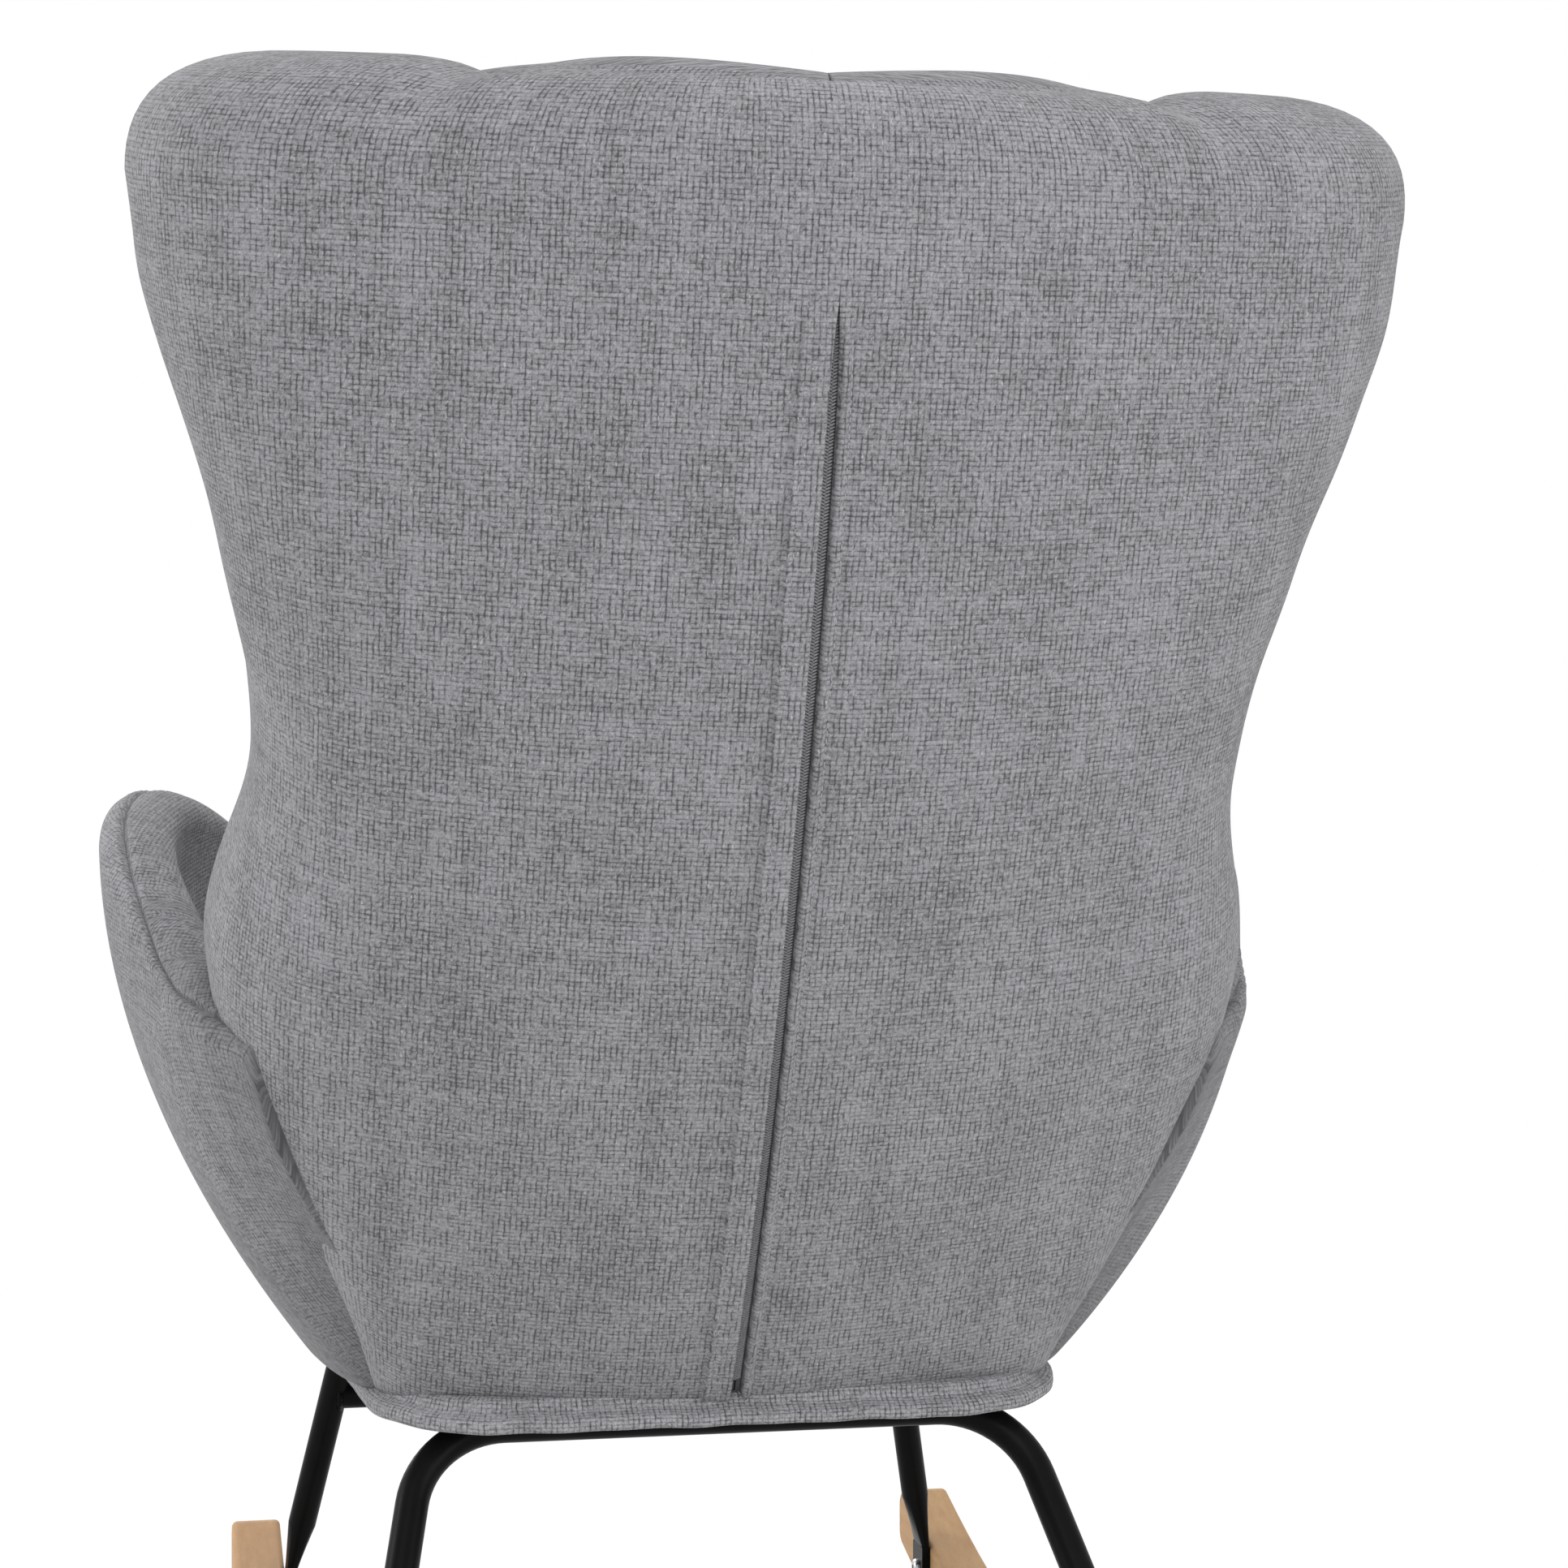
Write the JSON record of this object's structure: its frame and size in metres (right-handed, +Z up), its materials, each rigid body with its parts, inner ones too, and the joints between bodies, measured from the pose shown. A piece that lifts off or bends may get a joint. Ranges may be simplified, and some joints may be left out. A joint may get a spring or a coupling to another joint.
{
  "type": "rocking chair",
  "caption": "Upholstered wing-back rocking chair with channelled back, petal arms, zipped rear cover, bent steel tube legs and curved wooden rockers that let it tip to and fro.",
  "frame": {"origin": "on the floor under the middle of the overall box", "axes": "+Z up, the sitter faces -Y, +X is the sitter's left"},
  "size_m": [0.7118, 0.88, 1.0127],
  "materials": {
    "grey_fabric": "matte",
    "webbing": "matte",
    "dust_cloth": "matte",
    "zip_nylon": "satin",
    "bright_steel": "satin",
    "black_steel": "gloss",
    "rocker_wood": "satin",
    "plywood": "matte"
  },
  "bodies": {
    "chair": {"rear_cover": "grey_fabric", "left_middle_channel": "grey_fabric", "right_middle_channel": "grey_fabric", "left_wing_channel": "grey_fabric", "right_wing_channel": "grey_fabric", "left_arm": "grey_fabric", "right_arm": "grey_fabric", "seat_wrap": "grey_fabric", "seat_cushion": "grey_fabric", "back_webbing": "webbing", "dust_cover": "dust_cloth", "zip_tapes": "webbing", "zip_coils": "zip_nylon", "zip_stops": "bright_steel", "back_frame": "black_steel", "left_arm_frame": "black_steel", "right_arm_frame": "black_steel", "rear_leg_frame": "black_steel", "left_side_tube": "black_steel", "right_side_tube": "black_steel", "front_stretcher": "black_steel", "left_rocker": "rocker_wood", "right_rocker": "rocker_wood", "seat_board": "plywood", "back_screws": "bright_steel", "arm_screws": "bright_steel", "rocker_bolts": "bright_steel", "rocker_inserts": "bright_steel", "seat_bolts": "bright_steel", "tee_nuts": "bright_steel"},
    "zip_slider": {"zip_slider": "bright_steel"}
  },
  "joints": [
    {"name": "zip_travel", "type": "hinge", "parent": "chair", "child": "zip_slider", "pos_m": [0, -1.5295, 1.391], "axis": [1, 0, 0], "range_deg": [0, 17.8]}
  ]
}
